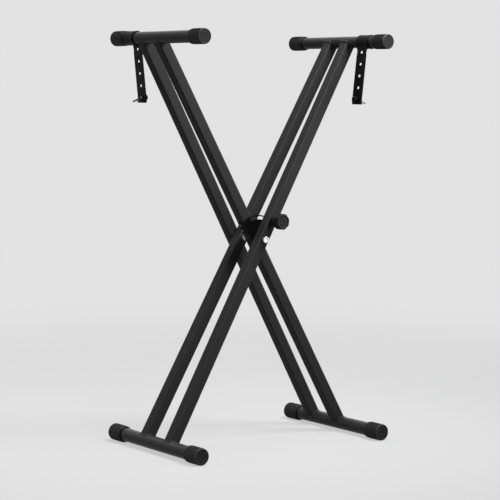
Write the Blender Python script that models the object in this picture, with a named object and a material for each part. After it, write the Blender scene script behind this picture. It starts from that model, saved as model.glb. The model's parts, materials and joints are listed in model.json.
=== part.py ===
"""Double x keyboard stand: two braced steel frames that cross on two pivot bolts.

Frame a carries the upper left arm and the right foot, frame b the upper right arm and the left foot.
Frame b is frame a turned half a turn about the vertical, so both share one function; only the places
of their braces along the arms differ, because the braces of the two frames stand in turn: b, a, b, a.
Lengths are metres, +Z is up and -Y is the front, where the clamp knob is.
"""
import math

import bmesh
import bpy
from mathutils import Matrix, Vector

# Driving dimensions
BRACE_SPAN = 0.965                     # from arm tube axis to foot tube axis
REST_LEAN = math.radians(29.4)         # each frame leans this far from upright
TUBE_LENGTH = 0.330                    # arms and feet, over their caps
ARM_RADIUS = 0.0127
FOOT_RADIUS = 0.0143
TUBE_WALL = 0.0015
BRACE_SIDE = 0.024
BRACE_CORNER = 0.003
STACK_CENTRE = 0.014                   # the braces stand this far behind the middle of the arms
BRACE_PITCH = 0.074                    # between the two braces of a frame at the pivot
CROSSING_GAP = 0.0064                  # between two braces that cross: room for the plate or a spacer
BRACE_DRAW_IN = 0.008                  # each brace leans inward this much by the arm
FIT_GAP = 0.0003
BOLT_RADIUS = 0.004                    # M8 pivots
BORE_RADIUS = 0.0044
CLAMP_RADIUS = 0.003                   # M6 clamp
CLAMP_BORE = 0.0033
CAP_LENGTH = 0.045
ARM_CAP_RADIUS = 0.0162
FOOT_CAP_RADIUS = 0.0182
CAP_END = 0.004
RIB_COUNT = 8
RIB_DEPTH = 0.0006
LOBE_COUNT = 8
LOBE_DEPTH = 0.085                     # share of the knob's radius
PLATE_RADIUS = 0.051
PLATE_THICK = 0.002
PLATE_CLEARANCE = 0.0013               # the drawn-in brace comes 0.9 mm nearer at the plate's rim
SLOT_RADIUS = 0.045                    # clamp bolt from the pivot
SLOT_START = math.radians(6)           # opening angles that the slot allows
SLOT_END = math.radians(63)
STRAP_WIDTH = 0.038
STRAP_THICK = 0.0025
STRAP_PITCH = 0.0255
STRAP_LEAN = math.radians(6.4)
STRAP_A_Y = 0.100                      # strap places along the arms
STRAP_B_Y = 0.092
FIRST_HOLE = -0.0235                   # the strap's top hole, below the arm's axis
HOLE_HEIGHT = 0.0058
HOLE_STRETCH = 1.55                    # a strap hole's width over its height
PEG_RADIUS = 0.0028

# Worked out from them
HALF_SPAN = BRACE_SPAN / 2
RIB_TOP = math.radians(9)              # half of a rib's flat top, seen from the axis
PIVOT_Z = FOOT_CAP_RADIUS * math.cos(RIB_TOP) + HALF_SPAN * math.cos(REST_LEAN)
CROSSING_STEP = BRACE_SIDE + CROSSING_GAP
B_FRONT_Y = STACK_CENTRE - (BRACE_PITCH + CROSSING_STEP) / 2
A_FRONT_Y = B_FRONT_Y + CROSSING_STEP
B_REAR_Y = B_FRONT_Y + BRACE_PITCH
A_REAR_Y = A_FRONT_Y + BRACE_PITCH
FRONT_FACE = B_FRONT_Y - BRACE_SIDE / 2
PLATE_FRONT = B_FRONT_Y + BRACE_SIDE / 2 + PLATE_CLEARANCE
PLATE_BACK = PLATE_FRONT + PLATE_THICK


def material(name, colour, roughness, metallic):
    """A plain Principled material."""
    made = bpy.data.materials.new(name)
    made.use_nodes = True
    shader = made.node_tree.nodes["Principled BSDF"]
    shader.inputs["Base Color"].default_value = (*colour, 1)
    shader.inputs["Roughness"].default_value = roughness
    shader.inputs["Metallic"].default_value = metallic
    made.diffuse_color = (*colour, 1)
    return made


def empty(name, location, rotation=(0, 0, 0), parent=None):
    """A named axis that moving pieces hang from."""
    made = bpy.data.objects.new(name, None)
    made.location = location
    made.rotation_euler = rotation
    made.parent = parent
    made.empty_display_size = 0.05
    bpy.context.collection.objects.link(made)
    return made


def add(name, mesh_in_work, finish, parent, location=(0, 0, 0), rotation=(0, 0, 0)):
    """Turns a bmesh into a named object, smooth where its faces meet gently."""
    bmesh.ops.recalc_face_normals(mesh_in_work, faces=mesh_in_work.faces)
    mesh = bpy.data.meshes.new(name)
    mesh_in_work.to_mesh(mesh)
    mesh_in_work.free()
    mesh.shade_smooth()
    mesh.set_sharp_from_angle(angle=math.radians(32))
    made = bpy.data.objects.new(name, mesh)
    made.location = location
    made.rotation_euler = rotation
    made.parent = parent
    if finish:
        mesh.materials.append(finish)
    bpy.context.collection.objects.link(made)
    return made


def boolean(target, tool, operation="DIFFERENCE"):
    """Cuts a tool out of the target, or joins it, and keeps the tool out of sight."""
    step = target.modifiers.new(tool.name, "BOOLEAN")
    step.operation = operation
    step.object = tool
    tool.hide_render = True
    tool.display_type = "WIRE"


def even_angles(count):
    """Angles of a regular ring."""
    return [math.tau * i / count for i in range(count)]


def rib_angles():
    """Four angles a rib: two on its flat top, two in the groove beside it."""
    pitch = math.tau / RIB_COUNT
    groove = pitch / 2 - math.radians(3)
    offsets = (-RIB_TOP, RIB_TOP, groove, pitch - groove)
    return [math.pi / 2 + pitch * k + offset for k in range(RIB_COUNT) for offset in offsets]


def round_ring(radius, angle, index):
    """A plain circle."""
    return radius


def hex_ring(radius, angle, index):
    """A hexagon with this radius over its flats."""
    return radius / math.cos((angle + math.pi / 6) % (math.pi / 3) - math.pi / 6)


def ribbed_ring(radius, angle, index):
    """A circle with a groove after each rib."""
    return radius - RIB_DEPTH if index % 4 > 1 else radius


def lobed_ring(radius, angle, index):
    """The knob's grip, with wide hollows between narrow lobes."""
    return radius * (1 - LOBE_DEPTH * (1 - abs(math.cos(LOBE_COUNT / 2 * angle)) ** 1.5))


def oval_ring(radius, angle, index):
    """An oval, this radius high and wider across the strap."""
    return radius * HOLE_STRETCH / math.hypot(math.cos(angle), HOLE_STRETCH * math.sin(angle))


def turned(profile, angles):
    """A solid turned about Y from rows of along, radius and, if not round, ring shape."""
    work = bmesh.new()
    rings = []
    for row in profile:
        along, radius = row[:2]
        shape = row[2] if len(row) > 2 else round_ring
        if radius == 0:
            rings.append([work.verts.new((0, along, 0))])
            continue
        ring = []
        for index, angle in enumerate(angles):
            r = shape(radius, angle, index)
            ring.append(work.verts.new((r * math.cos(angle), along, r * math.sin(angle))))
        rings.append(ring)
    count = len(angles)
    pairs = list(zip(rings, rings[1:]))
    if len(rings[0]) > 1:
        pairs.append((rings[-1], rings[0]))
    for one, two in pairs:
        for i in range(count):
            j = (i + 1) % count
            corners = (one[i % len(one)], one[j % len(one)], two[j % len(two)], two[i % len(two)])
            work.faces.new(dict.fromkeys(corners))
    return work


def prism(outline, low, high):
    """A flat outline of x, z points carried along Y from low to high."""
    work = bmesh.new()
    near = [work.verts.new((x, low, z)) for x, z in outline]
    far = [work.verts.new((x, high, z)) for x, z in outline]
    work.faces.new(near)
    work.faces.new(reversed(far))
    for i in range(len(outline)):
        j = (i + 1) % len(outline)
        work.faces.new((near[j], near[i], far[i], far[j]))
    return work


def arc(radius, start, end, steps, centre=(0, 0)):
    """Points round an arc, with angles clockwise from +Z as on a clock."""
    turns = [start + (end - start) * i / steps for i in range(steps + 1)]
    return [(centre[0] + radius * math.sin(t), centre[1] + radius * math.cos(t)) for t in turns]


def rod(radius, low, high, count=24):
    """A plain solid cylinder along Y."""
    return turned([(low, 0), (low, radius), (high, radius), (high, 0)], even_angles(count))


def ring(outer, inner, low, high, count=24):
    """A washer or bush along Y."""
    rows = [(low, inner), (low, outer), (high, outer), (high, inner)]
    return turned(rows, even_angles(count))


def rounded_square(side, corner):
    """A square outline with round corners."""
    reach = side / 2 - corner
    points = []
    for quarter, (x, z) in enumerate(((1, 1), (1, -1), (-1, -1), (-1, 1))):
        start = quarter * math.pi / 2
        points += arc(corner, start, start + math.pi / 2, 3, (x * reach, z * reach))
    return points


def tube(name, radius, height, parent, finish):
    """A round steel tube across the stand, open at both ends."""
    half = TUBE_LENGTH / 2 - CAP_END - FIT_GAP
    work = ring(radius, radius - TUBE_WALL, -half, half, 32)
    return add(name, work, finish, parent, (0, 0, height))


def brace(name, across, draw_in, parent, finish, holes):
    """A square steel tube, coped onto both round tubes and drilled for its bolts."""
    outer = rounded_square(BRACE_SIDE, BRACE_CORNER)
    inner = rounded_square(BRACE_SIDE - 2 * TUBE_WALL, BRACE_CORNER - TUBE_WALL)
    work = bmesh.new()
    rows = []
    for outline, height in ((outer, -HALF_SPAN), (outer, HALF_SPAN), (inner, HALF_SPAN), (inner, -HALF_SPAN)):
        rows.append([work.verts.new((x, y, height)) for x, y in outline])
    count = len(outer)
    for one, two in zip(rows, rows[1:] + rows[:1]):
        for i in range(count):
            j = (i + 1) % count
            work.faces.new((one[i], one[j], two[j], two[i]))
    lean = -math.copysign(math.atan(BRACE_DRAW_IN / HALF_SPAN), draw_in)
    made = add(name, work, finish, parent, (0, across, 0), (lean, 0, 0))
    for height, radius in ((HALF_SPAN, ARM_RADIUS), (-HALF_SPAN, FOOT_RADIUS)):
        cope = rod(radius + FIT_GAP, across - 0.04, across + 0.04, 32)
        boolean(made, add(name + "_cope", cope, None, parent, (0, 0, height)))
    for x, z, radius, low, high in holes:
        drill = rod(radius, low, high, 16)
        boolean(made, add(name + "_drill", drill, None, parent, (x, 0, z)))
    return made


def cap(name, tube_radius, radius, height, end, parent, finish):
    """A ribbed rubber cap with a flared mouth and a shallow dish in its end face."""
    bore = tube_radius + FIT_GAP
    full = CAP_LENGTH
    rows = [
        (full - 0.0008, 0), (full - 0.0008, radius * 0.55), (full, radius * 0.62),
        (full, radius - 0.0026), (full - 0.0012, radius - 0.0008), (full - 0.004, radius, ribbed_ring),
        (0.0045, radius, ribbed_ring), (0, radius - 0.0012), (0, bore + 0.0011), (0.004, bore),
        (full - CAP_END, bore), (full - CAP_END, 0),
    ]
    flip = 0 if end > 0 else math.pi
    level = REST_LEAN * end
    work = turned(rows, rib_angles())
    bmesh.ops.translate(work, verts=work.verts, vec=(0, TUBE_LENGTH / 2 - full, 0))
    return add(name, work, finish, parent, (0, 0, height), (0, level, flip))


def frame(name, turn, ends, looks):
    """One of the two alike frames: arm tube, foot tube, two braces and four caps."""
    axis = empty(name, (0, 0, PIVOT_Z), (0, -REST_LEAN, turn))
    tube(name + "_arm_tube", ARM_RADIUS, HALF_SPAN, axis, looks["coat"])
    tube(name + "_foot_tube", FOOT_RADIUS, -HALF_SPAN, axis, looks["coat"])
    sizes = (("arm", ARM_RADIUS, ARM_CAP_RADIUS, HALF_SPAN), ("foot", FOOT_RADIUS, FOOT_CAP_RADIUS, -HALF_SPAN))
    for place, tube_radius, radius, height in sizes:
        for label, end in ends.items():
            title = f"{name}_{place}_cap_{label}"
            cap(title, tube_radius, radius, height, end, axis, looks["rubber"])
    return axis


def pivot(name, low, high, parts, looks):
    """A pivot bolt from low to high through the world, with its washer and nut behind."""
    head = low - FIT_GAP
    nut = high + FIT_GAP
    washer_end = nut + 0.0015
    nut_front = washer_end + FIT_GAP
    rows = [
        (head - 0.0053, 0), (head - 0.0053, 0.0054), (head - 0.0046, 0.0065, hex_ring),
        (head, 0.0065, hex_ring), (head, BOLT_RADIUS), (nut_front + 0.0082, BOLT_RADIUS),
        (nut_front + 0.0088, BOLT_RADIUS - 0.0006), (nut_front + 0.0088, 0),
    ]
    add(f"pivot_bolt_{name}", turned(rows, even_angles(24)), looks["zinc"], parts)
    washer = ring(0.008, BORE_RADIUS, nut, washer_end)
    add(f"pivot_washer_{name}", washer, looks["zinc"], parts)
    rows = [
        (nut_front, BORE_RADIUS), (nut_front, 0.0065, hex_ring), (nut_front + 0.0056, 0.0065, hex_ring),
        (nut_front + 0.0060, 0.0058), (nut_front + 0.0074, 0.0054), (nut_front + 0.0078, BORE_RADIUS),
    ]
    add(f"pivot_nut_{name}", turned(rows, even_angles(24)), looks["zinc"], parts)


def lock_plate(parent, looks):
    """The quadrant: a plate with an arc slot, bent round frame a's front brace and riveted to it."""
    edge = BRACE_SIDE / 2 + FIT_GAP
    outside = edge + PLATE_THICK
    start = -math.asin(outside / PLATE_RADIUS)
    outline = arc(PLATE_RADIUS, start, SLOT_END + math.radians(9), 18)
    outline += arc(0.0125, math.radians(100), math.radians(300), 8)
    outline += [(-outside, 0.017)]
    made = add("lock_plate", prism(outline, PLATE_FRONT, PLATE_BACK), looks["coat"], parent)
    side = [(-outside, 0.021), (-edge, 0.021), (-edge, 0.0465), (-outside, 0.0465)]
    flange = add("lock_flange", prism(side, PLATE_FRONT, A_FRONT_Y + 0.007), None, parent)
    boolean(made, flange, "UNION")
    half = CLAMP_BORE
    middle = SLOT_RADIUS
    slot = arc(middle + half, SLOT_START, SLOT_END, 14)
    far = (middle * math.sin(SLOT_END), middle * math.cos(SLOT_END))
    slot += arc(half, SLOT_END, SLOT_END + math.pi, 8, far)[1:-1]
    slot += arc(middle - half, SLOT_END, SLOT_START, 14)
    near = (middle * math.sin(SLOT_START), middle * math.cos(SLOT_START))
    slot += arc(half, SLOT_START + math.pi, SLOT_START + math.tau, 8, near)[1:-1]
    cutter = prism(slot, PLATE_FRONT - 0.004, PLATE_BACK + 0.001)
    boolean(made, add("lock_slot", cutter, None, parent))
    boolean(made, add("lock_bore", rod(BORE_RADIUS, PLATE_FRONT - 0.004, PLATE_BACK + 0.004), None, parent))
    for label, height in (("upper", 0.040), ("lower", 0.0275)):
        rivet(label, height, made, parent, looks)
    spacer = ring(0.008, BORE_RADIUS, PLATE_BACK + FIT_GAP, A_FRONT_Y - BRACE_SIDE / 2 - FIT_GAP)
    add("pivot_spacer_front", spacer, looks["nylon"], parent)


def rivet(label, height, plate, parent, looks):
    """A dome rivet through the plate's flange and the brace wall, its tail upset inside."""
    outside = -(BRACE_SIDE / 2 + 2 * FIT_GAP + PLATE_THICK)
    rows = [
        (outside - 0.0018, 0), (outside - 0.0015, 0.0020), (outside, 0.0035), (outside, 0.0020),
        (outside + PLATE_THICK + TUBE_WALL + 0.0030, 0.0020), (outside + PLATE_THICK + TUBE_WALL + 0.0030, 0),
    ]
    quarter = (0, 0, -math.pi / 2)
    place = (0, A_FRONT_Y, height)
    add(f"lock_rivet_{label}", turned(rows, even_angles(16)), looks["zinc"], parent, place, quarter)
    hole = add(f"rivet_drill_{label}", rod(0.0024, -0.016, -0.006, 16), None, parent, place, quarter)
    boolean(plate, hole)


def clamp(parent, looks):
    """The carriage bolt fixed in frame b, and the knob and washer that turn on it.

    The knob's face rows give how far each stands before the brace.
    """
    spot = Vector((0, 0, SLOT_RADIUS))
    turn = (0, 0, math.pi)
    head = PLATE_BACK + FIT_GAP
    tip = FRONT_FACE - 0.025
    rows = [
        (head + 0.0022, 0), (head + 0.0020, 0.0035), (head + 0.0012, 0.0068), (head, 0.0072),
        (head, CLAMP_RADIUS), (tip, CLAMP_RADIUS), (tip - 0.0006, CLAMP_RADIUS - 0.0006), (tip - 0.0006, 0),
    ]
    add("clamp_bolt", turned(rows, even_angles(24)), looks["zinc"], parent, spot, turn)
    washer_front = FRONT_FACE - FIT_GAP - 0.0015
    seat = washer_front - FIT_GAP
    screw = empty("clamp_axis", spot, turn, parent)
    washer = ring(0.009, CLAMP_BORE, washer_front, FRONT_FACE - FIT_GAP)
    add("clamp_washer", washer, looks["zinc"], screw)
    insert = ring(0.0050, CLAMP_BORE, seat - 0.0105, seat - 0.0005, 18)
    add("knob_insert", insert, looks["zinc"], screw)
    face = [
        (0.0360, 0), (0.0357, 0.0060), (0.0347, 0.0098), (0.0340, 0.0104), (0.0350, 0.0114), (0.0352, 0.0142),
        (0.0338, 0.0163, lobed_ring), (0.0312, 0.0175, lobed_ring), (0.0218, 0.0175, lobed_ring),
        (0.0198, 0.0162, lobed_ring), (0.0188, 0.0118), (0.0160, 0.0098),
    ]
    rows = [(FRONT_FACE - row[0], *row[1:]) for row in face]
    blind = FRONT_FACE - 0.029
    rows += [
        (seat - 0.001, 0.0104), (seat, 0.0100), (seat, 0.0053), (seat - 0.0108, 0.0053),
        (seat - 0.0108, CLAMP_BORE), (blind, CLAMP_BORE), (blind, 0),
    ]
    add("clamp_knob", turned(rows, even_angles(5 * LOBE_COUNT)), looks["knob"], screw)


def strap(side, arm_axis, along, looks):
    """A moulded rubber strap looped on the arm, with four holes and a peg near its end."""
    bore = ARM_RADIUS + FIT_GAP
    outer = bore + STRAP_THICK - 0.0002
    middle = 0.0102
    half = STRAP_WIDTH / 2
    neck = half - 0.0004
    tail_half = 0.0155
    length = 0.136
    joint = empty(f"strap_axis_{side}", (0, along, 0), (0, -STRAP_LEAN, 0), arm_axis)
    made = add(f"strap_{side}", ring(outer, bore, -half, half, 32), looks["strap"], joint)
    outline = [
        (neck, -0.0098), (neck - 0.0005, -0.0125), (neck - 0.0018, -0.0155), (tail_half - 0.0003, -0.0190),
        (tail_half - 0.0012, -0.0235), (tail_half, -0.032), (tail_half, -length + 0.003),
        (tail_half - 0.003, -length),
    ]
    outline += [(-y, z) for y, z in reversed(outline)]
    work = prism(outline, middle - STRAP_THICK / 2, middle + STRAP_THICK / 2)
    bmesh.ops.rotate(work, verts=work.verts, matrix=Matrix.Rotation(-math.pi / 2, 3, "Z"))
    boolean(made, add(f"strap_tail_{side}", work, None, joint), "UNION")
    lip_foot = 0.0004 - length
    lip = [(0, lip_foot), (-0.005, lip_foot), (-0.005, lip_foot + 0.0036), (0, lip_foot + 0.0051)]
    lip = [(middle + x, z) for x, z in lip]
    lip_half = tail_half - 0.003
    boolean(made, add(f"strap_lip_{side}", prism(lip, -lip_half, lip_half), None, joint), "UNION")
    quarter = (0, 0, -math.pi / 2)
    heights = [FIRST_HOLE - hole * STRAP_PITCH for hole in range(5)]
    cuts = [(height, HOLE_HEIGHT / 2, oval_ring) for height in heights[:4]]
    cuts += [(heights[4], PEG_RADIUS + FIT_GAP, round_ring)]
    for height, radius, shape in cuts:
        cutter = turned([(0, 0), (0, radius, shape), (0.03, radius, shape), (0.03, 0)], even_angles(12))
        boolean(made, add(f"strap_hole_{side}", cutter, None, joint, (0, 0, height), quarter))
    peg(side, joint, middle, heights[4], looks)


def peg(side, joint, middle, height, looks):
    """The peg pushed through the last hole: a button inside, a stout pin with a thin tip outside."""
    face = STRAP_THICK / 2 + FIT_GAP
    rows = [
        (-face - 0.0062, 0), (-face - 0.0062, 0.0038), (-face - 0.0052, 0.0054), (-face - 0.0014, 0.0058),
        (-face, 0.0050), (-face, PEG_RADIUS), (face, PEG_RADIUS), (face, 0.0044), (face + 0.0014, 0.0042),
        (face + 0.0018, PEG_RADIUS), (0.0110, PEG_RADIUS), (0.0126, PEG_RADIUS / 2), (0.0225, 0.0011),
        (0.0240, 0),
    ]
    work = turned(rows, even_angles(12))
    droop = math.tan(math.radians(25))
    for vertex in work.verts:
        vertex.co.z -= droop * max(0, vertex.co.y - face)
    half_turn = (0, 0, math.pi / 2)
    add(f"strap_peg_{side}", work, looks["peg"], joint, (middle, 0, height), half_turn)


def main():
    """Builds the stand, open at its rest angle."""
    for old in list(bpy.data.objects):
        bpy.data.objects.remove(old, do_unlink=True)
    looks = {
        "coat": material("black_powder_coat", (0.018, 0.018, 0.019), 0.42, 0),
        "rubber": material("cap_rubber", (0.030, 0.030, 0.031), 0.62, 0),
        "strap": material("strap_rubber", (0.020, 0.020, 0.021), 0.55, 0),
        "peg": material("peg_plastic", (0.28, 0.28, 0.29), 0.4, 0),
        "zinc": material("zinc_plated_steel", (0.70, 0.70, 0.71), 0.3, 1),
        "knob": material("knob_plastic", (0.022, 0.022, 0.023), 0.5, 0),
        "nylon": material("nylon_spacer", (0.03, 0.03, 0.03), 0.5, 0),
    }
    one = frame("frame_a", 0, {"rear": 1, "front": -1}, looks)
    two = frame("frame_b", math.pi, {"front": 1, "rear": -1}, looks)
    bolt_hole = (0, 0, BORE_RADIUS, -0.08, 0.08)
    clamp_hole = (0, SLOT_RADIUS, CLAMP_BORE, 0, 0.08)
    brace("frame_a_front_brace", A_FRONT_Y, 1, one, looks["coat"], [bolt_hole])
    brace("frame_a_rear_brace", A_REAR_Y, -1, one, looks["coat"], [bolt_hole])
    brace("frame_b_rear_brace", -B_REAR_Y, 1, two, looks["coat"], [bolt_hole])
    brace("frame_b_front_brace", -B_FRONT_Y, -1, two, looks["coat"], [bolt_hole, clamp_hole])
    centre = empty("pivot_axis", (0, 0, PIVOT_Z))
    half = BRACE_SIDE / 2
    pivot("front", FRONT_FACE, A_FRONT_Y + half, centre, looks)
    pivot("rear", B_REAR_Y - half, A_REAR_Y + half, centre, looks)
    spacer = ring(0.008, BORE_RADIUS, B_REAR_Y + half + FIT_GAP, A_REAR_Y - half - FIT_GAP)
    add("pivot_spacer_rear", spacer, looks["nylon"], centre)
    lock_plate(one, looks)
    wall = bpy.data.objects["frame_a_front_brace"]
    for label in ("upper", "lower"):
        boolean(wall, bpy.data.objects[f"rivet_drill_{label}"])
    clamp(two, looks)
    arms = {}
    for side, axis in (("left", one), ("right", two)):
        arms[side] = empty(f"arm_axis_{side}", (0, 0, HALF_SPAN), (0, REST_LEAN, 0), axis)
    strap("left", arms["left"], STRAP_A_Y, looks)
    strap("right", arms["right"], STRAP_B_Y, looks)


main()
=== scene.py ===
# Looks of the double x keyboard stand: finishes, fine shapes, floor, lights and camera
import json
import math

import bmesh
import bpy
import numpy as np
from mathutils import Matrix, Vector


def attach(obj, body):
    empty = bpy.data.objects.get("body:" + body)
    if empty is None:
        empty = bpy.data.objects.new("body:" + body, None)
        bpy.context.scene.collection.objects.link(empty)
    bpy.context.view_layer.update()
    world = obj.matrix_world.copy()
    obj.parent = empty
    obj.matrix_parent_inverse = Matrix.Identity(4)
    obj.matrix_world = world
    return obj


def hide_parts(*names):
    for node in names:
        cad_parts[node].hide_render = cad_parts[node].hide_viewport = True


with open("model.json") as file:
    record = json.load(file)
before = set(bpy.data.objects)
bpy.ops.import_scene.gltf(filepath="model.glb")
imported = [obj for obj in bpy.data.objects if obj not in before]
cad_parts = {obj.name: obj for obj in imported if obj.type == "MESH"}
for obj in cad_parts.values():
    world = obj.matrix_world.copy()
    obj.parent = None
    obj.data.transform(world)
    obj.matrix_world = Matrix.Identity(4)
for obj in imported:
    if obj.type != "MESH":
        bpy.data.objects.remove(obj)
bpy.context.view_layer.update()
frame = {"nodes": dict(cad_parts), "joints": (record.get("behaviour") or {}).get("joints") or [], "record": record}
nodes = frame["nodes"]

# Sizes that the solids already have; the fine shapes are fitted to them
stand = {
    "lean": math.radians(29.4), "halfSpan": 0.4825, "halfTube": 0.165, "gap": 0.0003, "weld": 2e-6,
    "armRadius": 0.0127, "footRadius": 0.0143, "braceSide": 0.024, "braceCorner": 0.003, "drawIn": 0.008,
    "frontB": -0.0382, "frontA": -0.0078, "rearB": 0.0358, "rearA": 0.0662, "clampReach": 0.045,
}
hinge = next(joint for joint in frame["joints"] if joint["name"] == "frame_hinge")
pivot = Matrix.Translation(hinge["pos_m"])
frameA = pivot @ Matrix.Rotation(-stand["lean"], 4, "Y")
frameB = pivot @ Matrix.Rotation(math.pi, 4, "Z") @ Matrix.Rotation(-stand["lean"], 4, "Y")
frontFace = stand["frontB"] - stand["braceSide"] / 2


# A shader socket that takes part in sums
class Value:
    def __init__(self, tree, socket):
        self.tree = tree
        self.socket = socket

    def math(self, operation, *others):
        return addNode(self.tree, "ShaderNodeMath", 0, {"operation": operation}, [self, *others])

    def __add__(self, other):
        return self.math("ADD", other)

    def __sub__(self, other):
        return self.math("SUBTRACT", other)

    def __mul__(self, other):
        return self.math("MULTIPLY", other)

    def __radd__(self, other):
        return self.math("ADD", other)

    def __rsub__(self, other):
        return addNode(self.tree, "ShaderNodeMath", 0, {"operation": "SUBTRACT"}, [other, self])

    def __rmul__(self, other):
        return self.math("MULTIPLY", other)


# A socket takes a link, a number or a colour
def plug(tree, place, item):
    if isinstance(item, Value):
        tree.links.new(item.socket, place)
    elif item is not None:
        place.default_value = item


# Any node: its type, the output wanted, its settings, then its sockets by place or by name
def addNode(tree, kind, output=0, settings=None, sockets=()):
    made = tree.nodes.new(kind)
    for name, value in (settings or {}).items():
        setattr(made, name, value)
    pairs = sockets.items() if isinstance(sockets, dict) else enumerate(sockets)
    for key, item in pairs:
        plug(tree, made.inputs[key], item)
    return Value(tree, made.outputs[output])


# A Principled finish with the few patterns that the stand's materials are made of
class Finish:
    def __init__(self, name, **constants):
        self.material = bpy.data.materials.new(name)
        self.material.use_nodes = True
        self.tree = self.material.node_tree
        self.shader = self.tree.nodes["Principled BSDF"]
        self.place = self.node("ShaderNodeTexCoord", "Object")
        for key, value in constants.items():
            self.set(key, value)

    def node(self, kind, output=0, settings=None, sockets=()):
        return addNode(self.tree, kind, output, settings, sockets)

    def set(self, key, value):
        plug(self.tree, self.shader.inputs[key], value)

    def noise(self, scale, detail=2.0, rough=0.5):
        return self.node("ShaderNodeTexNoise", "Fac", None,
                         {"Vector": self.place, "Scale": scale, "Detail": detail, "Roughness": rough})

    def cells(self, scale):
        return self.node("ShaderNodeTexVoronoi", "Distance", None, {"Vector": self.place, "Scale": scale})

    # 0 below low, 1 above high, smooth between
    def step(self, value, low, high):
        return self.node("ShaderNodeMapRange", 0, {"interpolation_type": "SMOOTHSTEP"},
                         {"Value": value, "From Min": low, "From Max": high})

    # A mix of two colours, whose sockets are the seventh and eighth of the Mix node
    def blend(self, share, first, second):
        first, second = ((*item, 1) if isinstance(item, tuple) else item for item in (first, second))
        return self.node("ShaderNodeMix", 2, {"data_type": "RGBA"}, {0: share, 6: first, 7: second})

    # How far a surface faces up, from 0 on steep ones to 1
    def facingUp(self, steep=0.35):
        normal = self.node("ShaderNodeNewGeometry", "Normal")
        split = self.node("ShaderNodeSeparateXYZ", "Z", None, [normal])
        return self.step(split, steep, 1.0)

    def relief(self, height, strength, depth):
        self.set("Normal", self.node("ShaderNodeBump", 0, None,
                                     {"Height": height, "Strength": strength, "Distance": depth}))


# Scales are in turns a metre; tones multiply the colour; edges are where a smooth step starts and ends
coat = {
    "colour": (0.038, 0.038, 0.0384), "dust": (0.072, 0.072, 0.072), "roughness": 0.40, "specular": 0.018,
    "drift": 26, "driftTone": 1.16, "dustEdges": (0.35, 0.75), "dustShare": 0.5,
    "peel": 620, "grit": 2600, "gritShare": 0.35, "depth": 0.00022, "relief": 0.35,
    # The corner keys paint a highlight along a brace's rounded corners: the colour times edge, in a band from each
    # corner, broken into patches
    "edge": 1.8, "shineWidth": (0.0032, 0.0010), "shinePatches": 300, "shinePatchEdges": (0.35, 0.6),
    "shineLeast": 0.55,
}
tubeCoats = {
    "arm": {**coat, "specular": 0.04, "roughness": 0.30},
    # The feet's coat is a shade darker than the arms': painted shade
    "foot": {**coat, "colour": (0.034, 0.034, 0.0343), "specular": 0.06, "roughness": 0.28},
}
# The locking plate's near-black coat is painted shade, for the plate that sits deep between the braces
plateShadeCoat = {**coat, "colour": (0.006, 0.006, 0.0061), "dust": (0.010, 0.010, 0.010), "specular": 0.012}
beadCoat = {**coat, "colour": (0.058, 0.058, 0.0585), "roughness": 0.35, "specular": 0.05}
moulding = {
    "drift": 44, "tones": (0.86, 1.16), "coarse": 0.25, "coarseShare": 0.7, "specks": 0.4,
    "speckEdges": (0.52, 0.78), "relief": 0.4,
}
capRubber = {
    "colour": (0.030, 0.030, 0.0305), "dust": (0.070, 0.069, 0.068), "roughness": 0.55, "specular": 0.05,
    "grain": 1500, "depth": 0.00025,
}
# The caps' rolled rims take a paler, glossier rubber: the paler colour is a painted highlight
rimHighlightRubber = {**capRubber, "colour": (0.078, 0.078, 0.079), "roughness": 0.40, "specular": 0.15}
strapRubber = {
    "colour": (0.0120, 0.0120, 0.0122), "dust": (0.026, 0.026, 0.026), "roughness": 0.42, "specular": 0.03,
    "grain": 1900, "depth": 0.00008,
}
knobPlastic = {
    "colour": (0.0230, 0.0230, 0.0235), "dust": (0.050, 0.050, 0.050), "roughness": 0.40, "specular": 0.10,
    "grain": 2400, "depth": 0.00010,
}
# A darker copy of the knob's plastic, for its sides and neck: painted shade; the coarser grain is the grip's own
knobGripShaded = {
    **knobPlastic, "colour": (0.0120, 0.0120, 0.0122), "roughness": 0.55, "grain": 1500, "specular": 0.05,
}
pegPlastic = {
    "colour": (0.34, 0.34, 0.345), "roughness": 0.38, "specular": 0.4, "grain": 900, "depth": 0.00006,
}
brightZinc = {"light": (0.86, 0.86, 0.87), "dark": (0.50, 0.50, 0.49), "roughness": 0.27, "spangle": 420}
darkZinc = {"light": (0.095, 0.095, 0.10), "dark": (0.045, 0.045, 0.047), "roughness": 0.38, "spangle": 600}
plating = {
    "edges": (0.36, 0.66), "patchy": 0.16, "haze": 1800, "hazeShare": 0.08, "fine": 2.2, "relief": 0.25,
    "depth": 0.00012,
}
nylon = {"colour": (0.020, 0.020, 0.020), "roughness": 0.5, "specular": 0.35, "grain": 700, "depth": 0.00008}
nutRing = {"colour": (0.36, 0.38, 0.42), "roughness": 0.45, "specular": 0.4, "grain": 700, "depth": 0.00005}


# Where a brace's four corners are: both x and y along its own axes are near half its side. The object's
# coordinates are turned back by the frame's lean, and y is taken from the brace's slightly leaning axis
def cornerMask(made, matrix, across, inward):
    x, y, z = (made.node("ShaderNodeSeparateXYZ", key, None, [made.place]) for key in "XYZ")
    side = 1 if matrix is frameA else -1
    lift = z - hinge["pos_m"][2]
    ownX = x * (side * math.cos(stand["lean"])) + lift * math.sin(stand["lean"])
    ownZ = lift * math.cos(stand["lean"]) - x * (side * math.sin(stand["lean"]))
    ownY = y * side - across - ownZ * (inward * stand["drawIn"] / stand["halfSpan"])
    inner, outer = (stand["braceSide"] / 2 - width for width in coat["shineWidth"])
    return made.step(ownX.math("ABSOLUTE"), inner, outer) * made.step(ownY.math("ABSOLUTE"), inner, outer)
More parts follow.
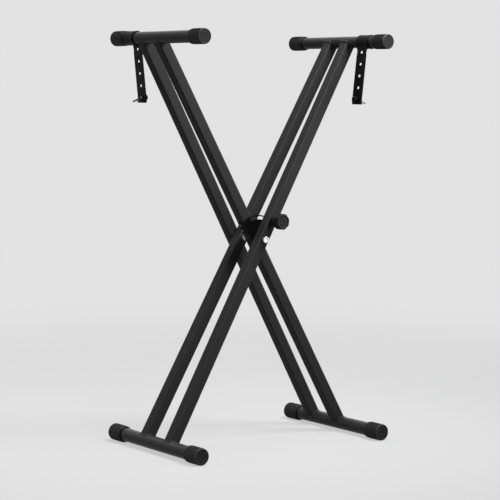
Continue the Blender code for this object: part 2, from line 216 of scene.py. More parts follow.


# Powder coat: broad orange peel with grit on it, a little dust on what faces up, and on a brace a painted
# highlight along its corners
def powderCoat(name, look, brace=None):
    made = Finish(name, **{"Specular IOR Level": look["specular"]})
    slow = made.noise(look["drift"], 4)
    dust = made.facingUp() * made.step(slow, *look["dustEdges"]) * look["dustShare"]
    shade = made.blend(slow, look["colour"], tuple(c * look["driftTone"] for c in look["colour"]))
    if brace:
        least = look["shineLeast"]
        patches = made.step(made.noise(look["shinePatches"], 3), *look["shinePatchEdges"])
        # Painted highlight along the brace's corners, broken into patches
        patchy = cornerMask(made, *brace) * (least + (1 - least) * patches)
        shade = made.blend(patchy, shade, tuple(c * look["edge"] for c in look["colour"]))
    made.set("Base Color", made.blend(dust, shade, look["dust"]))
    made.set("Roughness", look["roughness"] - 0.03 + slow * 0.06 + dust * 0.12)
    bumps = made.noise(look["peel"], 2) + made.noise(look["grit"], 1) * look["gritShare"]
    made.relief(bumps, look["relief"], look["depth"])
    return made.material


# Moulded rubber or plastic: a close skin grain, slow drift of shade, and pale dust that gathers in it
def moulded(name, look, speckle=0.0):
    made = Finish(name, **{"Specular IOR Level": look["specular"]})
    slow = made.noise(moulding["drift"], 4)
    grain = made.cells(look["grain"])
    shade = made.blend(slow, *(tuple(c * tone for c in look["colour"]) for tone in moulding["tones"]))
    if speckle:
        dust = made.step(made.noise(look["grain"] * moulding["specks"], 3), *moulding["speckEdges"]) * speckle
        shade = made.blend(dust + made.facingUp() * speckle * 0.5, shade, look["dust"])
    made.set("Base Color", shade)
    made.set("Roughness", look["roughness"] - 0.05 + slow * 0.10)
    coarse = made.noise(look["grain"] * moulding["coarse"], 3) * moulding["coarseShare"]
    made.relief(grain + coarse, moulding["relief"], look["depth"])
    return made.material


# Plated steel: patches of plating crystals in two tones, with a fine haze of scratches
def plated(name, look):
    made = Finish(name, **{"Metallic": 1.0})
    patches = made.step(made.noise(look["spangle"], 3, 0.65), *plating["edges"])
    haze = made.noise(plating["haze"], 2) * plating["hazeShare"]
    made.set("Base Color", made.blend(patches, look["dark"], look["light"]))
    made.set("Roughness", look["roughness"] + plating["patchy"] * (1 - patches) + haze)
    made.relief(made.noise(look["spangle"] * plating["fine"], 3), plating["relief"], plating["depth"])
    return made.material


# One finish for each slot of the record, then those of single pieces or of some of their faces
finishes = {
    "powder_coat": powderCoat("powderCoat", coat),
    "cap_rubber": moulded("capRubber", capRubber, 0.40),
    "strap_rubber": moulded("strapRubber", strapRubber, 0.14),
    "peg_plastic": moulded("pegPlastic", pegPlastic),
    "zinc": plated("darkZinc", darkZinc),
    "knob_plastic": moulded("knobPlastic", knobPlastic, 0.22),
    "nylon": moulded("nylonBush", nylon),
}
rimPaintedHighlight = moulded("capRimPaintedHighlight", rimHighlightRubber, 0.40)
gripPaintedShade = moulded("knobGripShaded", knobGripShaded, 0.10)
headZinc = plated("brightZinc", brightZinc)
plateInPaintedShade = powderCoat("plateInPaintedShade", plateShadeCoat)
beadBlack = powderCoat("weldBlack", beadCoat)
ringNylon = moulded("nutNylon", nutRing)
braces = {
    "frame_a_front": (frameA, stand["frontA"], 1), "frame_a_rear": (frameA, stand["rearA"], -1),
    "frame_b_front": (frameB, -stand["frontB"], -1), "frame_b_rear": (frameB, -stand["rearB"], 1),
}
for part in frame["record"]["subparts"]:
    for holder in nodes[part["node"]].material_slots:
        holder.material = finishes[part["material_slot"]]
for place, look in tubeCoats.items():
    tubeBlack = powderCoat(place + "Coat", look)
    for side in "ab":
        nodes[f"frame_{side}_{place}_tube"].material_slots[0].material = tubeBlack
for name, brace in braces.items():
    nodes[name + "_brace"].material_slots[0].material = powderCoat(name + "Coat", coat, brace)
print("finishes done")


# Points of a grid carried into the stand's frame by a matrix
def placed(grid, matrix):
    turn = np.array(matrix)
    return grid @ turn[:3, :3].T + turn[:3, 3]


# Quads between neighbouring points of a grid, whose columns close on themselves unless open
def gridFaces(rows, columns, closedRows=False, openColumns=False):
    index = np.arange(rows * columns).reshape(rows, columns)
    if closedRows:
        index = np.vstack([index, index[:1]])
    if not openColumns:
        index = np.hstack([index, index[:, :1]])
    corners = (index[:-1, :-1], index[:-1, 1:], index[1:, 1:], index[1:, :-1])
    return np.stack(corners, -1).reshape(-1, 4)


# One object from closed skins: seams and poles merged, faces turned outward, then placed on its body
def addPiece(name, skins, materials, body, replaced=None, sharpest=38):
    points = np.concatenate([skin["grid"].reshape(-1, 3) for skin in skins])
    faces = []
    kinds = []
    start = 0
    for skin in skins:
        rows, columns = skin["grid"].shape[:2]
        ways = (skin.get("closedRows", False), skin.get("openColumns", False))
        quads = gridFaces(rows, columns, *ways) + start
        faces.append(quads)
        kinds.append(np.zeros(len(quads), int) + skin.get("finish", 0))
        start += rows * columns
    mesh = bpy.data.meshes.new(name)
    mesh.from_pydata(points.tolist(), [], np.concatenate(faces).tolist())
    mesh.polygons.foreach_set("material_index", np.concatenate(kinds))
    work = bmesh.new()
    work.from_mesh(mesh)
    bmesh.ops.remove_doubles(work, verts=work.verts, dist=stand["weld"])
    bmesh.ops.recalc_face_normals(work, faces=work.faces)
    work.to_mesh(mesh)
    work.free()
    return finishPiece(name, mesh, materials, body, replaced, sharpest)


# Materials, smooth faces with sharp creases, then the piece's body, and the node it stands for is hidden
def finishPiece(name, mesh, materials, body, replaced, sharpest):
    for material in materials:
        mesh.materials.append(material)
    mesh.shade_smooth()
    mesh.set_sharp_from_angle(angle=math.radians(sharpest))
    made = bpy.data.objects.new(name, mesh)
    bpy.context.collection.objects.link(made)
    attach(made, body)
    if replaced:
        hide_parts(replaced)
    return made


# Every corner of a profile becomes a quadratic curve between points a cut before and after it
def rolled(points, cut, steps=3):
    points = np.asarray(points, float)
    corner = points[1:-1]
    back = points[:-2] - corner
    ahead = points[2:] - corner
    start = corner + back * np.minimum(cut / np.linalg.norm(back, axis=1, keepdims=True), 0.48)
    end = corner + ahead * np.minimum(cut / np.linalg.norm(ahead, axis=1, keepdims=True), 0.48)
    t = np.linspace(0, 1, steps)[None, :, None]
    curve = (1 - t) ** 2 * start[:, None] + 2 * t * (1 - t) * corner[:, None] + t ** 2 * end[:, None]
    return np.concatenate([points[:1], curve.reshape(-1, points.shape[1]), points[-1:]])


# A profile of along, radius turned about Y; shape may change the radius by angle and place along
def turnedGrid(profile, count, shape=None):
    along = profile[:, 0][:, None]
    radius = profile[:, 1][:, None]
    angle = np.linspace(0, math.tau, count, endpoint=False)[None, :]
    reach = shape(radius, angle, along) if shape else radius + 0 * angle
    return np.stack([reach * np.cos(angle), along + 0 * angle, reach * np.sin(angle)], -1)


capLook = {
    "ribs": 40, "depth": 0.0009, "angles": 200, "length": 0.045, "wall": 0.004, "roll": 0.0006,
    "rimBack": 0.0022, "rimIn": 0.0019, "armReach": 0.0162, "footReach": 0.0182,
}


# A ribbed cap: the radius loses a cosine wave, one turn of it for each rib, wherever the profile's third
# number is 1. Its end has a small moulding mark, a flat and a rolled rim, and its mouth flares off the tube
def makeCap(name, tubeRadius, outerRadius, axis, facing, body):
    full = capLook["length"]
    edge = outerRadius * math.cos(math.radians(9))  # as far as the solid's rib tops stand out
    bore = tubeRadius + stand["gap"]
    inside = full - capLook["wall"]
    profile = rolled([
        (full - 0.0002, 0, 0), (full - 0.0002, 0.0010, 0), (full - 0.0010, 0.0017, 0),
        (full - 0.0010, 0.0023, 0), (full - 0.0005, 0.0031, 0), (full - 0.0006, 0.50 * edge, 0),
        (full - 0.0006, 0.78 * edge, 0), (full, 0.84 * edge, 0), (full, edge - 0.0016, 0),
        (full - 0.0012, edge - 0.0004, 0), (full - 0.0024, edge, 0), (full - 0.0032, edge - 0.0009, 0),
        (full - 0.0040, edge - 0.0009, 0), (full - 0.0048, edge, 1), (0.0085, edge, 1),
        (0.0060, edge - 0.0003, 0), (0.0020, edge - 0.0009, 0), (0, edge - 0.0018, 0),
        (0.0003, bore + 0.0014, 0), (0.0022, bore + 0.0010, 0), (0.0040, bore, 0), (inside, bore, 0),
        (inside, 0, 0),
    ], capLook["roll"])
    ribbed = profile[:, 2][:, None]

    def ribs(radius, angle, along):
        wave = 0.5 - 0.5 * np.cos(capLook["ribs"] * angle)
        return radius - capLook["depth"] * ribbed * wave

    grid = turnedGrid(profile[:, :2], capLook["angles"], ribs)
    grid[..., 1] += stand["halfTube"] - full
    matrix = Matrix.Translation(axis) @ Matrix.Rotation(0 if facing > 0 else math.pi, 4, "Z")
    atEnd = profile[:, 0] > full - capLook["rimBack"]
    paintedRim = atEnd & (profile[:, 1] > edge - capLook["rimIn"])  # the rim, whose paler rubber is a painted highlight
    kinds = np.repeat((paintedRim[:-1] & paintedRim[1:]).astype(int), capLook["angles"])
    shell = {"grid": placed(grid, matrix), "finish": kinds}
    addPiece(name + "_ribbed", [shell], [finishes["cap_rubber"], rimPaintedHighlight], body, name)


tubes = (("arm", stand["armRadius"], stand["halfSpan"]), ("foot", stand["footRadius"], -stand["halfSpan"]))
for label, matrix in (("frame_a", frameA), ("frame_b", frameB)):
    for place, tubeRadius, height in tubes:
        axis = matrix @ Vector((0, 0, height))
        for end, facing in (("front", -1), ("rear", 1)):
            makeCap(f"{label}_{place}_cap_{end}", tubeRadius, capLook[place + "Reach"], axis, facing, label)
print("caps done")

weld = {"radius": 0.0017, "pitch": 0.0024, "ripple": 0.2, "points": 280, "section": 12, "clear": 0.0004}


# Points evenly spaced round a square with round corners, and the outward direction at each
def squarePath(side, corner, count):
    quarter = np.linspace(0, math.pi / 2, 9)
    turns = np.concatenate([quarter + k * math.pi / 2 for k in range(4)])
    signs = np.repeat([(1, 1), (-1, 1), (-1, -1), (1, -1)], 9, axis=0)
    points = signs * (side / 2 - corner) + corner * np.stack([np.cos(turns), np.sin(turns)], 1)
    closed = np.vstack([points, points[:1]])
    travel = np.concatenate([[0], np.cumsum(np.linalg.norm(np.diff(closed, axis=0), axis=1))])
    spots = np.linspace(0, travel[-1], count, endpoint=False)
    path = np.stack([np.interp(spots, travel, closed[:, k]) for k in (0, 1)], 1)
    ahead = np.roll(path, -1, axis=0) - np.roll(path, 1, axis=0)
    outward = np.stack([ahead[:, 1], -ahead[:, 0]], 1) / np.linalg.norm(ahead, axis=1, keepdims=True)
    return path, outward, spots


# A weld bead where a square brace meets a round tube: the path drops the brace's outline onto the tube,
# height = tube axis less root of radius squared less x squared, and the round section swells in crescents
def weldGrid(across, tubeRadius, height):
    side = stand["braceSide"] + weld["clear"]
    path, outward, spots = squarePath(side, stand["braceCorner"], weld["points"])
    upward = math.copysign(1, height)
    drop = np.sqrt(tubeRadius ** 2 - path[:, 0] ** 2)
    centre = np.stack([path[:, 0], path[:, 1] + across, height - upward * drop], 1)
    fromTube = np.stack([path[:, 0], 0 * drop, -upward * drop], 1) / tubeRadius
    fromBrace = np.column_stack([outward, 0 * drop])
    up = fromTube + fromBrace
    up /= np.linalg.norm(up, axis=1, keepdims=True)
    along = np.roll(centre, -1, axis=0) - np.roll(centre, 1, axis=0)
    over = np.cross(along, up)
    over /= np.linalg.norm(over, axis=1, keepdims=True)
    turn = np.linspace(0, math.tau, weld["section"], endpoint=False)[None, :, None]
    phase = spots[:, None, None] / weld["pitch"] + 0.3 * np.cos(turn)
    swell = weld["radius"] * (1 - weld["ripple"] + weld["ripple"] * np.abs(np.sin(math.pi * phase)))
    return centre[:, None] + swell * (np.cos(turn) * up[:, None] + np.sin(turn) * over[:, None])


for name, (matrix, across, inward) in braces.items():
    for place, tubeRadius, height in tubes:
        spot = across + inward * math.copysign(stand["drawIn"], height)
        bead = {"grid": placed(weldGrid(spot, tubeRadius, height), matrix), "closedRows": True}
        body = name[:len("frame_a")]
        addPiece(f"{name}_{place}_weld", [bead], [beadBlack], body, sharpest=60)
print("welds done")

hardware = {
    "boltRadius": 0.004, "halfHex": 0.0065, "angles": 96, "threadPitch": 0.00125, "threadDepth": 0.00055,
    "threaded": 0.0040, "tipPast": 0.0088, "head": 0.0053, "nut": 0.0056, "hexRim": 0.0061,
    "hexReach": 0.0075, "chamfer": 1.9, "washer": 0.0015, "washerReach": 0.008, "washerBore": 0.0044,
}


# A hexagon's radius at an angle, cut back by a cone at each end: the smaller of the two
def hexShape(low, high, bevelLow, bevelHigh):
    def shape(radius, angle, along):
        flat = (angle + math.pi / 6) % (math.pi / 3) - math.pi / 6
        hexagon = hardware["halfHex"] / np.cos(flat)
        cone = hardware["halfHex"] * 0.95 + np.minimum((along - low) * bevelLow, (high - along) * bevelHigh)
        hexed = np.minimum(hexagon, np.maximum(cone, radius))
        wrench = (radius > 0.0060) & (along >= low) & (along <= high)
        return np.where(wrench, np.minimum(hexed, hexagon), radius)
    return shape


# Rows up a hexagon's side, marked by a radius past the flats that hexShape then cuts back
def hexRows(low, high, count):
    places = np.linspace(0, 1, count)
    ends = (places == 0) | (places == 1)
    reach = np.where(ends, hardware["hexRim"], hardware["hexReach"])
    return np.stack([low + (high - low) * places, reach], 1)


# A hexagon bolt: the shank's last turns carry a thread, radius less a triangle wave of angle plus place along
def makeBolt(name, low, high):
    head = low - stand["gap"]
    face = head - hardware["head"]
    tip = high + 2 * stand["gap"] + hardware["washer"] + hardware["tipPast"]
    radius = hardware["boltRadius"]
    start = tip - hardware["threaded"]
    front = rolled([
        (face + 0.0003, 0), (face + 0.0003, 0.0034), (face, 0.0040), (face, hardware["hexRim"]),
    ], 0.0003)
    neck = np.array([(head, radius), (start - 0.0002, radius)])
    turns = np.stack([np.linspace(start, tip - 0.0004, 47), np.full(47, radius)], 1)
    end = np.array([(tip, radius - 0.0010), (tip, 0)])
    profile = np.concatenate([front, hexRows(face, head, 15), neck, turns, end])
    hexed = hexShape(face, head, hardware["chamfer"], 30)

    def shape(radiusRow, angle, along):
        wave = np.abs(((along / hardware["threadPitch"] - angle / math.tau) % 1) * 2 - 1)
        cut = hardware["threadDepth"] * wave * ((along > start - 0.0001) & (along < tip - 0.0003))
        return hexed(radiusRow, angle, along) - cut

    grid = turnedGrid(profile, hardware["angles"], shape)
    addPiece(name + "_hex", [{"grid": placed(grid, pivot)}], [headZinc], "frame_a", name, 30)


# A lock nut: chamfered hexagon, a thin collar above it, and the nylon ring that grips the thread
def makeNut(name, high):
    seat = high + 2 * stand["gap"] + hardware["washer"]
    top = seat + hardware["nut"]
    bore = hardware["boltRadius"] + 0.0004
    collar = rolled([
        (top, hardware["hexRim"]), (seat + 0.0060, 0.0058), (seat + 0.0074, 0.0056), (seat + 0.0078, 0.0051),
        (seat + 0.0076, 0.0047), (seat + 0.0062, bore),
    ], 0.0003)
    profile = np.concatenate([[(seat, bore)], hexRows(seat, top, 13), collar[1:]])
    hexed = hexShape(seat, top, hardware["chamfer"], hardware["chamfer"])
    grid = turnedGrid(profile, hardware["angles"], hexed)
    ringRows = rolled([(seat + 0.0064, bore), (seat + 0.0064, 0.0046), (seat + 0.0074, 0.0047),
                       (seat + 0.0072, bore - 0.0002), (seat + 0.0066, bore - 0.0002)], 0.0002)
    skins = [
        {"grid": placed(grid, pivot), "closedRows": True},
        {"grid": placed(turnedGrid(ringRows, 48), pivot), "closedRows": True, "finish": 1},
    ]
    addPiece(name + "_lock", skins, [finishes["zinc"], ringNylon], "frame_a", name, 30)


# A washer: an oblong with rolled corners turned about the axis
def makeWasher(name, outer, bore, low, high, matrix, body):
    middle = (outer + bore) / 2
    rows = rolled([
        (low, middle), (low, outer), (high, outer), (high, bore), (low, bore), (low, middle),
    ], 0.0004)
    grid = turnedGrid(rows, 72)
    addPiece(name + "_rolled", [{"grid": placed(grid, matrix)}], [finishes["zinc"]], body, name, 50)


half = stand["braceSide"] / 2
for place, low, high in (("front", frontFace, stand["frontA"] + half),
                         ("rear", stand["rearB"] - half, stand["rearA"] + half)):
    makeBolt(f"pivot_bolt_{place}", low, high)
    makeNut(f"pivot_nut_{place}", high)
    under = high + stand["gap"]
    makeWasher(f"pivot_washer_{place}", hardware["washerReach"], hardware["washerBore"],
               under, under + hardware["washer"], pivot, "frame_a")

clampAxis = frameB @ Matrix.Translation((0, 0, stand["clampReach"])) @ Matrix.Rotation(math.pi, 4, "Z")
under = frontFace - stand["gap"]
makeWasher("clamp_washer", 0.009, 0.0033, under - hardware["washer"], under, clampAxis, "clamp_ring")

rivet = {"plate": 0.002, "heights": {"upper": 0.040, "lower": 0.0275}, "rise": 0.0018, "deep": 0.0065}
for place, height in rivet["heights"].items():
    outside = -(half + 2 * stand["gap"] + rivet["plate"])
    rows = rolled([
        (outside - rivet["rise"], 0), (outside - 0.0017, 0.0014), (outside - 0.0010, 0.0028),
        (outside, 0.0035), (outside, 0.0020), (outside + rivet["deep"], 0.0020), (outside + rivet["deep"], 0),
    ], 0.0005, 4)
    matrix = frameA @ Matrix.Translation((0, stand["frontA"], height)) @ Matrix.Rotation(-math.pi / 2, 4, "Z")
    grid = placed(turnedGrid(rows, 40), matrix)
    addPiece(f"lock_rivet_{place}_dome", [{"grid": grid}], [finishes["zinc"]], "frame_a",
             f"lock_rivet_{place}", 50)
print("bolts, nuts, washers and rivets done")


# A copy of a CAD solid, merged, its flats made whole and its edges rolled by a bevel
def softened(name, node, width, material, body):
    mesh = nodes[node].data.copy()
    mesh.materials.clear()
    work = bmesh.new()
    work.from_mesh(mesh)
    bmesh.ops.remove_doubles(work, verts=work.verts, dist=stand["weld"])
    bmesh.ops.dissolve_limit(work, angle_limit=math.radians(1), verts=work.verts, edges=work.edges)
    work.to_mesh(mesh)
    work.free()
    made = finishPiece(name, mesh, [material], body, node, 34)
    bevel = made.modifiers.new("rolledEdge", "BEVEL")
    bevel.width = width
    bevel.segments = 2
    bevel.limit_method = "ANGLE"
    bevel.angle_limit = math.radians(40)
    bevel.harden_normals = True


# The plate takes the near-black coat: painted shade
softened("lock_quadrant", "lock_plate", 0.0004, plateInPaintedShade, "frame_a")
print("locking plate done")

knob = {"lobes": 8, "depth": 0.06, "angles": 192, "hollow": 1.5, "roll": 0.0007, "gripTo": 0.0350}


# The clamp knob: a profile of place before the brace, radius and how far it is lobed. The radius dips between
# the lobes by a power of a cosine. The rows are the dished face, the lobed grip, the neck, and the bore
def makeKnob():
    face = [(0.0353, 0, 0), (0.0353, 0.0014, 0), (0.0350, 0.0018, 0), (0.0350, 0.0023, 0),
            (0.0354, 0.0029, 0), (0.0355, 0.0070, 0), (0.0353, 0.0094, 0), (0.0349, 0.0100, 0),
            (0.0352, 0.0107, 0)]
    grip = [(0.0358, 0.0114, 0), (0.0359, 0.0138, 0.2), (0.0355, 0.0156, 0.6), (0.0342, 0.0169, 1),
            (0.0322, 0.0175, 1), (0.0222, 0.0175, 1), (0.0204, 0.0168, 1), (0.0196, 0.0150, 0.7)]
    neck = [(0.0188, 0.0118, 0), (0.0160, 0.0098, 0), (0.0060, 0.0100, 0), (0.0040, 0.0104, 0),
            (0.0026, 0.0104, 0), (0.0021, 0.0100, 0), (0.0021, 0.0053, 0)]
    bore = [(0.0129, 0.0053, 0), (0.0129, 0.0033, 0), (0.0290, 0.0033, 0), (0.0290, 0, 0)]
    rows = rolled(face + grip + neck + bore, knob["roll"])
    lobed = rows[:, 2][:, None]

    def lobes(radius, angle, along):
        hollow = 1 - np.abs(np.cos(knob["lobes"] / 2 * angle)) ** knob["hollow"]
        return radius * (1 - knob["depth"] * lobed * hollow)

    grid = turnedGrid(np.column_stack([frontFace - rows[:, 0], rows[:, 1]]), knob["angles"], lobes)
    # The lobed sides, the neck and the bore take the darker plastic: painted shade
    gripped = rows[:, 0] < knob["gripTo"]
    kinds = np.repeat((gripped[:-1] & gripped[1:]).astype(int), knob["angles"])
    shell = {"grid": placed(grid, clampAxis), "finish": kinds}
    plastics = [finishes["knob_plastic"], gripPaintedShade]
    addPiece("clamp_knob_lobed", [shell], plastics, "knob", "clamp_knob")


makeKnob()
print("knob done")

strap = {
    "halfWidth": 0.019, "thick": 0.0025, "middle": 0.0102, "length": 0.136, "lean": math.radians(6.4),
    "alongA": 0.100, "alongB": 0.092, "holes": 5, "pitch": 0.0255, "firstHole": -0.0235, "holeHalf": 0.0029,
    "stretch": 1.55, "peg": 0.0028, "droop": math.radians(14), "foot": 0.0004, "lipHalf": 0.0125,
}
# Beads raised beside the edges and round the holes: how high, how far in and how soft
beads = {"hole": (0.0005, 0.0012, 0.0008), "edge": (0.00035, 0.0013, 0.0009)}
# Rolled corners there: the share of thickness left at the border and how far the roll reaches
rolls = {"hole": (0.60, 0.0007), "edge": (0.45, 0.0010)}
# Half the tail's width by height: full at the band, a concave shoulder, a neck, and straight below
tailShape = np.array([
    (-0.136, 0.0125), (-0.1352, 0.0142), (-0.1335, 0.0155), (-0.032, 0.0155), (-0.0275, 0.0149),
    (-0.0235, 0.0143), (-0.0190, 0.0152), (-0.0155, 0.0168), (-0.0125, 0.0181), (-0.0098, 0.0186),
])


# A closed outline of x, z points carried along y, with a point at the middle of each end
def barGrid(outline, low, high, soft):
    outline = np.asarray(outline, float)
    centre = outline.mean(0)
    stations = [(low, 0.0), (low, 0.9), (low + soft, 1.0), (high - soft, 1.0), (high, 0.9), (high, 0.0)]
    place = np.array([s[0] for s in stations])[:, None]
    share = np.array([s[1] for s in stations])[:, None, None]
    flat = centre + (outline - centre)[None] * share
    return np.stack([flat[..., 0], place + 0 * flat[..., 0], flat[..., 1]], -1)


# One face of the tail round one hole. A square of points, 24 a side, is drawn in along rays to the oval hole;
# the face stands off the middle by half the thickness, plus a bead along the edges and a rim round the hole,
# and rolls off towards both
def tailPatch(hole, halfHigh, halfWide, low, high, side):
    ticks = np.linspace(-1, 1, 25)[:-1]
    square = np.concatenate([
        np.stack([0 * ticks + 1, ticks], 1), np.stack([-ticks, 0 * ticks + 1], 1),
        np.stack([0 * ticks - 1, -ticks], 1), np.stack([ticks, 0 * ticks - 1], 1),
    ])
    z = (low + high) / 2 + square[:, 1] * (high - low) / 2
    outer = np.stack([square[:, 0] * np.interp(z, tailShape[:, 0], tailShape[:, 1]), z], 1)
    turn = np.arctan2(square[:, 1], square[:, 0])
    inner = np.stack([halfWide * np.cos(turn), hole + halfHigh * np.sin(turn)], 1)
    share = np.concatenate([np.linspace(0, 0.3, 12), np.linspace(0.34, 0.78, 8), np.linspace(0.81, 1, 10)])
    spread = inner[None] + (outer - inner)[None] * share[:, None, None]
    away = {
        "hole": np.linalg.norm(spread - inner[None], axis=-1),
        "edge": np.interp(spread[..., 1], tailShape[:, 0], tailShape[:, 1]) - np.abs(spread[..., 0]),
    }
    off = np.full(spread.shape[:2], strap["thick"] / 2)
    for border, (high, place, soft) in beads.items():
        off += high * np.exp(-((away[border] - place) / soft) ** 2)
    for border, (least, reach) in rolls.items():
        off *= least + (1 - least) * np.sqrt(1 - (1 - np.clip(away[border] / reach, 0, 1)) ** 2)
    return np.stack([strap["middle"] + side * off, spread[..., 0], spread[..., 1]], -1)


# The tail: both faces of a patch for each hole, a wall in each hole and a wall round the outside
def tailSkins():
    holes = [strap["firstHole"] - k * strap["pitch"] for k in range(strap["holes"])]
    limits = [tailShape[-1, 0]] + [z - strap["pitch"] / 2 for z in holes[:-1]] + [tailShape[0, 0]]
    skins = []
    for k, hole in enumerate(holes):
        last = k == strap["holes"] - 1
        halfHigh = strap["peg"] + stand["gap"] if last else strap["holeHalf"]
        halfWide = halfHigh if last else halfHigh * strap["stretch"]
        front = tailPatch(hole, halfHigh, halfWide, limits[k + 1], limits[k], 1)
        back = tailPatch(hole, halfHigh, halfWide, limits[k + 1], limits[k], -1)
        skins += [{"grid": front}, {"grid": back}, {"grid": np.stack([front[0], back[0]])}]
        edge = np.stack([front[-1], back[-1]])
        walls = [edge[:, 0:25], edge[:, 48:73]]
        if k == 0:
            walls.append(edge[:, 24:49])
        if last:
            walls.append(np.concatenate([edge[:, 72:96], edge[:, :1]], axis=1))
        skins += [{"grid": wall, "openColumns": True} for wall in walls]
    return skins


# The band: a sleeve whose ends are rolled, with a shallow bead by each and a flared mouth
def bandGrid():
    bore = stand["armRadius"] + stand["gap"]
    outer = bore + strap["thick"] - 0.0002
    wide = strap["halfWidth"]
    back = [
        (0, outer - 0.0003), (wide - 0.0042, outer - 0.0003), (wide - 0.0030, outer), (wide - 0.0012, outer),
        (wide, outer - 0.0008), (wide - 0.0002, bore + 0.0010), (wide - 0.0024, bore),
    ]
    front = [(-along, radius) for along, radius in reversed(back)]
    return turnedGrid(rolled(back + front, 0.0007), 96)


# The peg: a stout grey pin that droops outward to a round tip, and a dark button inside the strap
def makePeg(side, matrix, body):
    face = strap["thick"] / 2 + stand["gap"]
    pin = rolled([
        (-face - 0.0010, 0), (-face - 0.0010, 0.0024), (face, 0.0026), (face, 0.0038),
        (face + 0.0011, 0.0036), (face + 0.0016, 0.0026), (0.0100, 0.0024), (0.0200, 0.0020),
        (0.0230, 0.0018), (0.0240, 0.0010), (0.0240, 0),
    ], 0.0005, 4)
    button = rolled([
        (-face - 0.0098, 0), (-face - 0.0100, 0.0034), (-face - 0.0090, 0.0060), (-face - 0.0050, 0.0068),
        (-face, 0.0058), (-face, 0.0020), (-face - 0.0008, 0),
    ], 0.0012, 4)
    skins = []
    for profile, finish in ((pin, 0), (button, 1)):
        grid = turnedGrid(profile, 40)
        grid[..., 2] -= math.tan(strap["droop"]) * np.maximum(0, grid[..., 1] - face)
        skins.append({"grid": placed(grid, matrix), "finish": finish})
    addPiece(f"strap_peg_{side}_moulded", skins, [finishes["peg_plastic"], finishes["strap_rubber"]], body,
             f"strap_peg_{side}")


# A strap on its arm: the tail hangs from the band at its own lean, with a lip across its foot
def makeStrap(side, matrix, along, body):
    arm = matrix @ Matrix.Translation((0, 0, stand["halfSpan"])) @ Matrix.Rotation(stand["lean"], 4, "Y")
    hang = arm @ Matrix.Translation((0, along, 0)) @ Matrix.Rotation(-strap["lean"], 4, "Y")
    skins = tailSkins() + [{"grid": bandGrid()}]
    foot = strap["foot"] - strap["length"]
    section = [
        (0.0006, 0.0004), (-0.0042, 0), (-0.0050, 0.0008), (-0.0050, 0.0030), (-0.0040, 0.0038),
        (0.0006, 0.0048),
    ]
    lip = [(strap["middle"] + x, foot + z) for x, z in section]
    skins.append({"grid": barGrid(lip, -strap["lipHalf"], strap["lipHalf"], 0.0012)})
    for skin in skins:
        skin["grid"] = placed(skin["grid"], hang)
    rubber = finishes["strap_rubber"]
    addPiece(f"strap_{side}_moulded", skins, [rubber], body, f"strap_{side}", 50)
    lastHole = strap["firstHole"] - (strap["holes"] - 1) * strap["pitch"]
    spot = Matrix.Translation((strap["middle"], 0, lastHole)) @ Matrix.Rotation(math.pi / 2, 4, "Z")
    makePeg(side, hang @ spot, body)


makeStrap("left", frameA, strap["alongA"], "left_strap")
makeStrap("right", frameB, strap["alongB"], "right_strap")
print("straps and pegs done")

room = {
    "grey": (0.767, 0.766, 0.767), "floor": (0.772, 0.772, 0.774), "hidden": 0.22, "glow": 0.66,
    "fadeStart": 0.6, "fadeEnd": 2.6, "fill": 0.03, "reach": 10.0,
}


# 1 for rays that show the background: those of the camera, of gloss and of glass
def seenRays(tree):
    camera, gloss, glass = (addNode(tree, "ShaderNodeLightPath", f"Is {kind} Ray")
                            for kind in ("Camera", "Glossy", "Transmission"))
    return camera.math("MAXIMUM", gloss).math("MAXIMUM", glass)


# A pale floor that keeps the stand's shadow and fades into the grey behind it far from the stand
def makeFloor():
    mesh = bpy.data.meshes.new("floor")
    far = room["reach"]
    mesh.from_pydata([(-far, -far, 0), (far, -far, 0), (far, far, 0), (-far, far, 0)], [], [(0, 1, 2, 3)])
    floor = bpy.data.objects.new("floor", mesh)
    bpy.context.collection.objects.link(floor)
    made = Finish("floorGrey")
    tree = made.tree
    distance = made.node("ShaderNodeVectorMath", "Value", {"operation": "LENGTH"}, [made.place])
    gone = made.step(distance, room["fadeStart"], room["fadeEnd"])
    lit = made.node("ShaderNodeBsdfDiffuse", 0, None, {"Color": (*room["floor"], 1)})
    glow = made.node("ShaderNodeEmission", 0, None, {"Color": (*room["floor"], 1)})
    pale = made.node("ShaderNodeMixShader", 0, None, [room["glow"], lit, glow])
    dim = made.node("ShaderNodeBsdfDiffuse", 0, None, {"Color": (room["hidden"],) * 3 + (1,)})
    shown = made.node("ShaderNodeMixShader", 0, None, [seenRays(tree), dim, pale])
    clear = made.node("ShaderNodeBsdfTransparent")
    whole = made.node("ShaderNodeMixShader", 0, None, [gone, shown, clear])
    tree.links.new(whole.socket, tree.nodes["Material Output"].inputs["Surface"])
    tree.nodes.remove(made.shader)
    mesh.materials.append(made.material)


# An even grey behind, and a dimmer even light on the stand
def makeWorld():
    world = bpy.data.worlds.new("studio")
    world.use_nodes = True
    bpy.context.scene.world = world
    tree = world.node_tree
    light = tree.nodes["Background"]
    light.inputs["Color"].default_value = (1, 1, 1, 1)
    light.inputs["Strength"].default_value = room["fill"]
    back = addNode(tree, "ShaderNodeBackground", 0, None, {"Color": (*room["grey"], 1), "Strength": 1.0})
    unseen = Value(tree, light.outputs[0])
    both = addNode(tree, "ShaderNodeMixShader", 0, None, [seenRays(tree), unseen, back])
    tree.links.new(both.socket, tree.nodes["World Output"].inputs["Surface"])


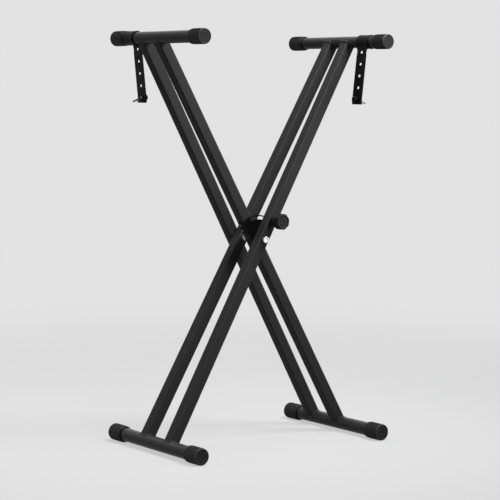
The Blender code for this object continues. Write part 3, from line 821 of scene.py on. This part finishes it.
lamps = {
    "topSun": {"from": (0.05, 0.05, 1.0), "strength": 0.95, "spread": 34},
    "backSun": {"from": (-0.38, 0.80, 0.46), "strength": 0.30, "spread": 60},
    "frontSun": {"from": (0.74, -0.66, 0.22), "strength": 0.95, "spread": 40},
    "leftSun": {"from": (-0.90, 0.10, 0.42), "strength": 0.39, "spread": 50},
    "rearSun": {"from": (0.15, 0.95, 0.20), "strength": 0.55, "spread": 60},
}
softbox = {
    "at": (0.35, -0.55, 1.60), "towards": (0, 0, 0.90), "wide": 0.6, "high": 0.6, "power": 9.2, "cone": 110,
}


# A lamp that shines from a direction
def pointed(name, lamp, direction, place=(0, 0, 0)):
    made = bpy.data.objects.new(name, lamp)
    made.location = place
    made.rotation_euler = Vector(direction).to_track_quat("Z", "Y").to_euler()
    bpy.context.collection.objects.link(made)
    return made


# Wide suns for each side, and one box above the front whose light falls off down the braces
def makeLamps():
    for name, look in lamps.items():
        lamp = bpy.data.lights.new(name, "SUN")
        lamp.energy = look["strength"]
        lamp.angle = math.radians(look["spread"])
        pointed(name, lamp, look["from"])
    lamp = bpy.data.lights.new("softbox", "AREA")
    lamp.shape = "RECTANGLE"
    lamp.size = softbox["wide"]
    lamp.size_y = softbox["high"]
    lamp.energy = softbox["power"]
    lamp.spread = math.radians(softbox["cone"])
    place = Vector(softbox["at"])
    made = pointed("softbox", lamp, place - Vector(softbox["towards"]), place)
    made.visible_camera = False


view = {
    "azimuth": -36.2, "elevation": 5.11, "distance": 3.846, "aim": (-0.0011, 0.0008, 0.4124), "focal": 1797,
    "roll": 0.55, "frame": 500, "sensor": 36,
}


# The photograph's view: its focal length is in pixels of the square frame
def makeCamera():
    lens = bpy.data.cameras.new("view")
    lens.sensor_width = view["sensor"]
    lens.lens = view["sensor"] * view["focal"] / view["frame"]
    lens.clip_end = 60
    made = bpy.data.objects.new("view", lens)
    turn = math.radians(view["azimuth"])
    rise = math.radians(view["elevation"])
    back = Vector((math.sin(turn) * math.cos(rise), -math.cos(turn) * math.cos(rise), math.sin(rise)))
    made.location = Vector(view["aim"]) + back * view["distance"]
    level = back.to_track_quat("Z", "Y").to_matrix()
    made.rotation_euler = (level @ Matrix.Rotation(math.radians(view["roll"]), 3, "Z")).to_euler()
    bpy.context.collection.objects.link(made)
    bpy.context.scene.camera = made


makeFloor()
makeWorld()
makeLamps()
makeCamera()
bpy.context.scene.view_settings.view_transform = "Standard"
print("floor, light and camera done")
